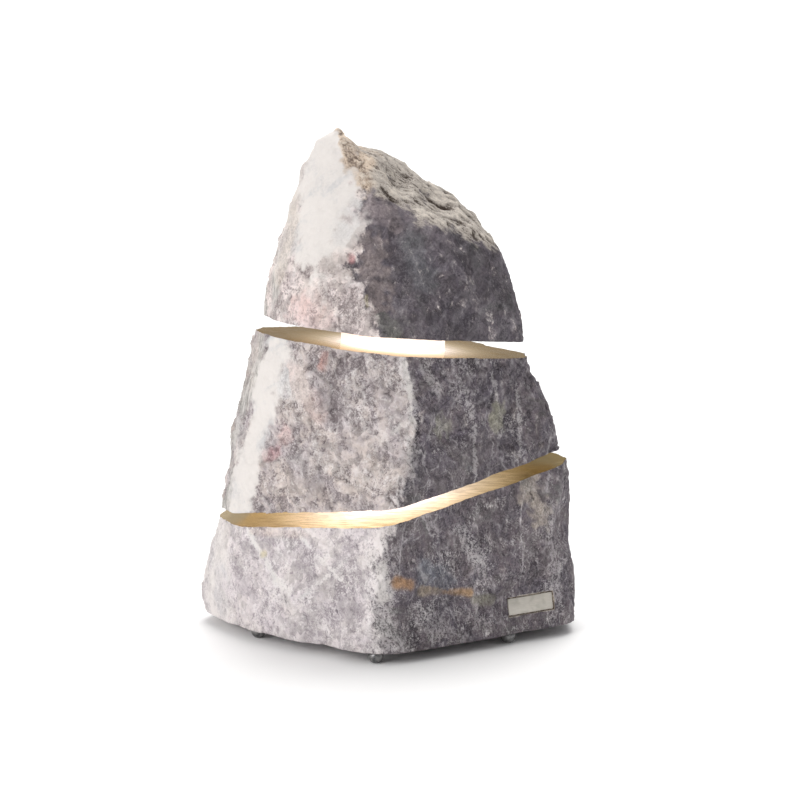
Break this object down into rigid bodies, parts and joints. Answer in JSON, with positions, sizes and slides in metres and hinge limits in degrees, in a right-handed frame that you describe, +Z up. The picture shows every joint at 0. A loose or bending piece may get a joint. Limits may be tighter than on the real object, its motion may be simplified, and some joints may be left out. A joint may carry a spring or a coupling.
{
  "type": "menhir lamp",
  "caption": "Menhir-shaped stone lamp: a standing boulder sawn across by tilted cuts, gilded on the cut faces, with a glowing core in the gaps, on small ball feet.",
  "frame": {"origin": "on the surface it stands on, under the middle of the whole lamp's outline", "axes": "+Z up; -Y towards the front corner where the pale left face meets the dark right face; +X to the right of that corner, where the name plate sits"},
  "size_m": [0.3356, 0.2744, 0.4467],
  "materials": {
    "bottom_marble": "rough broken grey-violet marble, paler on the left faces, gold leaf on the sawn top",
    "middle_marble": "rough broken grey-violet marble with fine white veins, gold leaf on both sawn faces",
    "top_marble": "rough broken marble, cream-white on the left and brownish crust on the slanting top, gold leaf under",
    "glowing_core": "opal diffuser, lit",
    "foot_steel": "dull ball",
    "plate_metal": "brushed, bare"
  },
  "bodies": {
    "root": {"bottom_stone": "bottom_marble", "middle_stone": "middle_marble", "top_stone": "top_marble", "lower_light_drum": "glowing_core", "upper_light_drum": "glowing_core", "foot_front": "foot_steel", "foot_left": "foot_steel", "foot_right": "foot_steel", "foot_back": "foot_steel", "name_plate": "plate_metal"}
  },
  "joints": []
}
